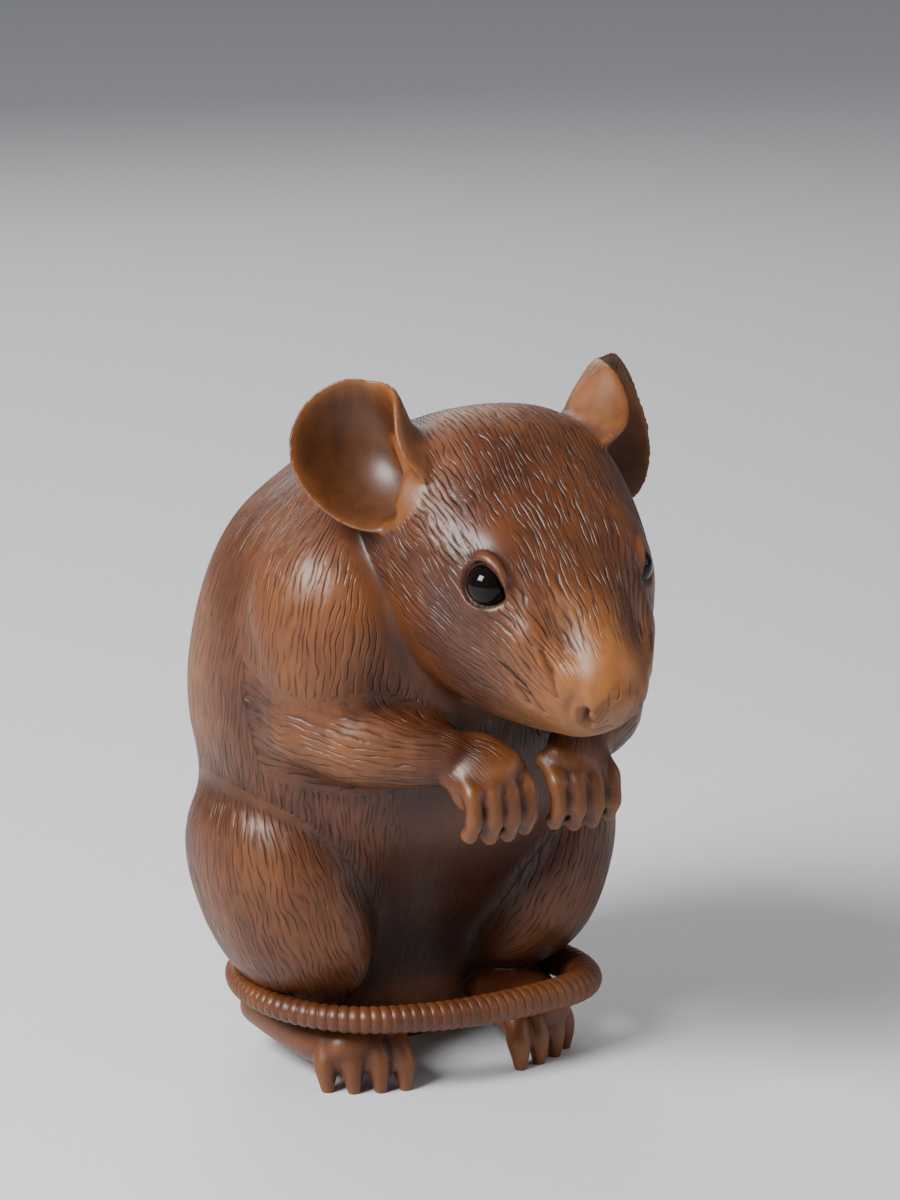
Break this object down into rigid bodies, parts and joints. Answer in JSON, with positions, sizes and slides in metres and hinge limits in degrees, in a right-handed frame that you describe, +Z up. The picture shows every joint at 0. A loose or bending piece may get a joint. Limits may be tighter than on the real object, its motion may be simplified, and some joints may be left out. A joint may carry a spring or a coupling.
{
  "type": "okimono",
  "caption": "Carved wooden ornament: a seated rat with its head bowed, paws held under its chin and tail wrapped over its feet, with inlaid horn eyes.",
  "frame": {"origin": "middle of the footprint, on the surface that the rat sits on", "axes": "+Z up, the rat looks along -Y, its right side is towards -X"},
  "size_m": [0.0476, 0.0682, 0.0764],
  "materials": {
    "wood": "stained boxwood with a hand-rubbed satin polish, fine carved hair lines",
    "horn": "dark horn, high polish"
  },
  "bodies": {
    "root": {"rat": "wood", "eye_right": "horn", "eye_left": "horn"}
  },
  "joints": []
}
